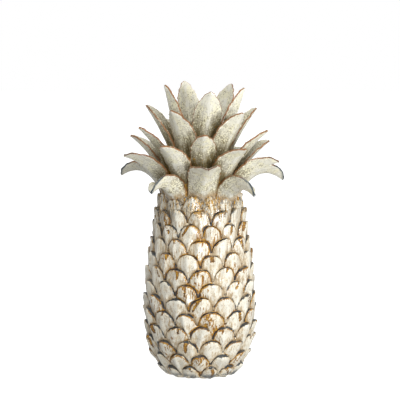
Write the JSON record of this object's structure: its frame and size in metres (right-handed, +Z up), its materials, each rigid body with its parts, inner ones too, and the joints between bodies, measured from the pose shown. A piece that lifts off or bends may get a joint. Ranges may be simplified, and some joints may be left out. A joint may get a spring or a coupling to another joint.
{
  "type": "ceramic pineapple ornament",
  "caption": "Freestanding glazed ceramic pineapple: a barrel body of overlapping raised scales on a flat foot, under a spreading crown of keeled, pointed leaves.",
  "frame": {"origin": "middle of the flat foot that it stands on", "axes": "+Z up along the body towards the crown, -Y towards the side that the picture shows, +X to the right of that side"},
  "size_m": [0.2048, 0.199, 0.3603],
  "materials": {
    "glazed_ceramic": "semi-gloss cream and sage glaze, broken to rust on the rims and dark in the recesses"
  },
  "bodies": {
    "root": {"pineapple": "glazed_ceramic"}
  },
  "joints": []
}
